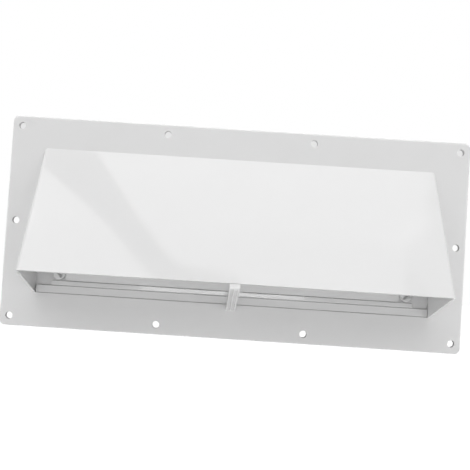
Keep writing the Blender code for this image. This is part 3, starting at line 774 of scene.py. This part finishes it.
def make_band_card():
    bm = bmesh.new()
    left = [bm.verts.new((x, y, BAND_CARD_HEIGHT)) for x, y in BAND_CARD_LEFT]
    right = [bm.verts.new((x, y, BAND_CARD_HEIGHT)) for x, y in BAND_CARD_RIGHT]
    for i in range(len(left) - 1):
        bm.faces.new((left[i], left[i + 1], right[i + 1], right[i]))
    card = to_object("band_card", bm)
    card.data.materials.append(glow_material("band_card_grey", BAND_CARD_GREY, 1.0))
    only_mirrored(card)


def make_rail_card():
    bm = bmesh.new()
    low, high = RAIL_CARD_Z
    left, right = RAIL_CARD_X
    corners = ((left, low), (right, low), (right, high), (left, high))
    bm.faces.new([bm.verts.new((x, RAIL_CARD_Y, z)) for x, z in corners])
    card = to_object("rail_card", bm)
    card.data.materials.append(glow_material("rail_card_white", 1.0, RAIL_CARD_GLOW))
    only_mirrored(card)


def hole_card_material(name, shade):
    """Painted shade: flat glowing grey for a camera in front, clear for one behind, a share of the grey
    for other rays.
    """
    material, nodes, links = new_material(name)
    rays = nodes.new("ShaderNodeLightPath")
    facing = nodes.new("ShaderNodeNewGeometry")
    # The glow is painted shade: shaded backdrop for the camera, darkened bores for the rays that light
    # things
    glow = nodes.new("ShaderNodeEmission")
    glow.inputs["Color"].default_value = grey(HOLE_BACKDROP_SHADE_GREY)
    amount = nodes.new("ShaderNodeMapRange")
    amount.inputs["To Min"].default_value = shade
    links.new(rays.outputs["Is Camera Ray"], amount.inputs["Value"])
    links.new(amount.outputs["Result"], glow.inputs["Strength"])
    clear = nodes.new("ShaderNodeBsdfTransparent")
    from_behind = nodes.new("ShaderNodeMath")
    from_behind.operation = "MULTIPLY"
    links.new(rays.outputs["Is Camera Ray"], from_behind.inputs[0])
    links.new(facing.outputs["Backfacing"], from_behind.inputs[1])
    mix = nodes.new("ShaderNodeMixShader")
    links.new(from_behind.outputs[0], mix.inputs[0])
    links.new(glow.outputs[0], mix.inputs[1])
    links.new(clear.outputs[0], mix.inputs[2])
    out = nodes.new("ShaderNodeOutputMaterial")
    links.new(mix.outputs[0], out.inputs["Surface"])
    return material


def make_hole_cards():
    upper_material = hole_card_material("upper_hole_card", UPPER_HOLE_SHADE)
    lower_material = hole_card_material("lower_hole_card", LOWER_HOLE_SHADE)
    turn = Matrix.Rotation(pi / 2, 4, "X")
    for i, (x, z) in enumerate(screw_places()):
        bm = bmesh.new()
        bmesh.ops.create_circle(
            bm,
            cap_ends=True,
            segments=ROUND_SEGMENTS,
            radius=HOLE_CARD_DIAMETER / 2,
            matrix=Matrix.Translation((x, HOLE_CARD_Y, z)) @ turn,
        )
        card = to_object(f"hole_card_{i}", bm)
        upper = z > FLANGE_CENTRE_Z + SAME_PLACE
        card.data.materials.append(upper_material if upper else lower_material)
        card.visible_camera = upper


def seen_rays(nodes, links):
    """1 for camera, glossy and transmission rays, and 0 for the rays that light things."""
    rays = nodes.new("ShaderNodeLightPath")
    glossy = nodes.new("ShaderNodeMath")
    glossy.operation = "MAXIMUM"
    links.new(rays.outputs["Is Camera Ray"], glossy.inputs[0])
    links.new(rays.outputs["Is Glossy Ray"], glossy.inputs[1])
    either = nodes.new("ShaderNodeMath")
    either.operation = "MAXIMUM"
    links.new(glossy.outputs[0], either.inputs[0])
    links.new(rays.outputs["Is Transmission Ray"], either.inputs[1])
    return either.outputs[0]


def make_world():
    world = bpy.data.worlds.new("world")
    bpy.context.scene.world = world
    world.use_nodes = True
    nodes, links = world.node_tree.nodes, world.node_tree.links
    nodes.clear()
    ambient = nodes.new("ShaderNodeBackground")
    ambient.inputs["Strength"].default_value = AMBIENT
    ambient.inputs["Color"].default_value = grey(1.0)
    white = nodes.new("ShaderNodeBackground")
    white.inputs["Color"].default_value = grey(1.0)
    mix = nodes.new("ShaderNodeMixShader")
    out = nodes.new("ShaderNodeOutputWorld")
    links.new(seen_rays(nodes, links), mix.inputs[0])
    links.new(ambient.outputs[0], mix.inputs[1])
    links.new(white.outputs[0], mix.inputs[2])
    links.new(mix.outputs[0], out.inputs["Surface"])


def make_floor():
    material, nodes, links = new_material("floor_pale")
    paint = nodes.new("ShaderNodeBsdfDiffuse")
    paint.inputs["Color"].default_value = grey(FLOOR_GREY)
    glow = nodes.new("ShaderNodeEmission")
    amount = nodes.new("ShaderNodeMath")
    amount.operation = "MULTIPLY"
    amount.inputs[1].default_value = FLOOR_GLOW
    links.new(seen_rays(nodes, links), amount.inputs[0])
    links.new(amount.outputs[0], glow.inputs["Strength"])
    both = nodes.new("ShaderNodeAddShader")
    links.new(paint.outputs[0], both.inputs[0])
    links.new(glow.outputs[0], both.inputs[1])
    out = nodes.new("ShaderNodeOutputMaterial")
    links.new(both.outputs[0], out.inputs["Surface"])
    bpy.ops.mesh.primitive_plane_add(size=FLOOR_SIZE, location=(0.0, 0.0, FLOOR_Z))
    floor = bpy.context.object
    floor.name = "floor"
    floor.data.materials.append(material)


def white_plastic(name, dark, pale, roughness, coat, depth):
    """Smooth moulded plastic with faint flow mottling and a fine skin."""
    material, nodes, links = new_material(name, keep_nodes=True)
    shader = nodes["Principled BSDF"]
    shader.inputs["IOR"].default_value = PLASTIC_IOR
    shader.inputs["Coat Weight"].default_value = coat
    shader.inputs["Coat Roughness"].default_value = COAT_ROUGHNESS
    shader.inputs["Subsurface Weight"].default_value = 1.0
    shader.inputs["Subsurface Radius"].default_value = (1.0, 1.0, 1.0)
    shader.inputs["Subsurface Scale"].default_value = depth
    place = nodes.new("ShaderNodeTexCoord")
    flow = nodes.new("ShaderNodeTexNoise")
    flow.inputs["Scale"].default_value = FLOW_SCALE
    flow.inputs["Detail"].default_value = FLOW_DETAIL
    links.new(place.outputs["Object"], flow.inputs["Vector"])
    tint = nodes.new("ShaderNodeMix")
    tint.data_type = "RGBA"
    tint.inputs["A"].default_value = grey(dark)
    tint.inputs["B"].default_value = grey(pale)
    links.new(flow.outputs["Fac"], tint.inputs["Factor"])
    links.new(tint.outputs["Result"], shader.inputs["Base Color"])
    gloss = nodes.new("ShaderNodeMapRange")
    gloss.inputs["To Min"].default_value = roughness - ROUGHNESS_SPREAD
    gloss.inputs["To Max"].default_value = roughness + ROUGHNESS_SPREAD
    links.new(flow.outputs["Fac"], gloss.inputs["Value"])
    links.new(gloss.outputs["Result"], shader.inputs["Roughness"])
    skin = nodes.new("ShaderNodeTexNoise")
    skin.inputs["Scale"].default_value = SKIN_SCALE
    skin.inputs["Detail"].default_value = SKIN_DETAIL
    links.new(place.outputs["Object"], skin.inputs["Vector"])
    bump = nodes.new("ShaderNodeBump")
    bump.inputs["Strength"].default_value = SKIN_STRENGTH
    bump.inputs["Distance"].default_value = SKIN_HEIGHT
    links.new(skin.outputs["Fac"], bump.inputs["Height"])
    links.new(bump.outputs["Normal"], shader.inputs["Normal"])
    return material


def dress(item, body, node, material):
    item.data.materials.clear()
    item.data.materials.append(material)
    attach(item, body)
    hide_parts(node)


def main():
    tab = white_plastic(*TAB_WHITE)
    dress(make_cover(), "housing", "cover", white_plastic(*COVER_WHITE))
    dress(make_duct_frame(), "housing", "duct_frame", white_plastic(*INNER_WHITE))
    dress(make_flap(), "flap", "damper_flap", white_plastic(*FLAP_LIT_WHITE))
    dress(make_tab("tab_moulding_left", -1), "left_tab", "turn_tab_left", tab)
    dress(make_tab("tab_moulding_right", 1), "right_tab", "turn_tab_right", tab)
    make_camera()
    for lamp in LAMPS:
        area_light(*lamp)
    make_band_card()
    make_rail_card()
    make_hole_cards()
    make_world()
    make_floor()
    bpy.context.scene.view_settings.view_transform = "Standard"


main()
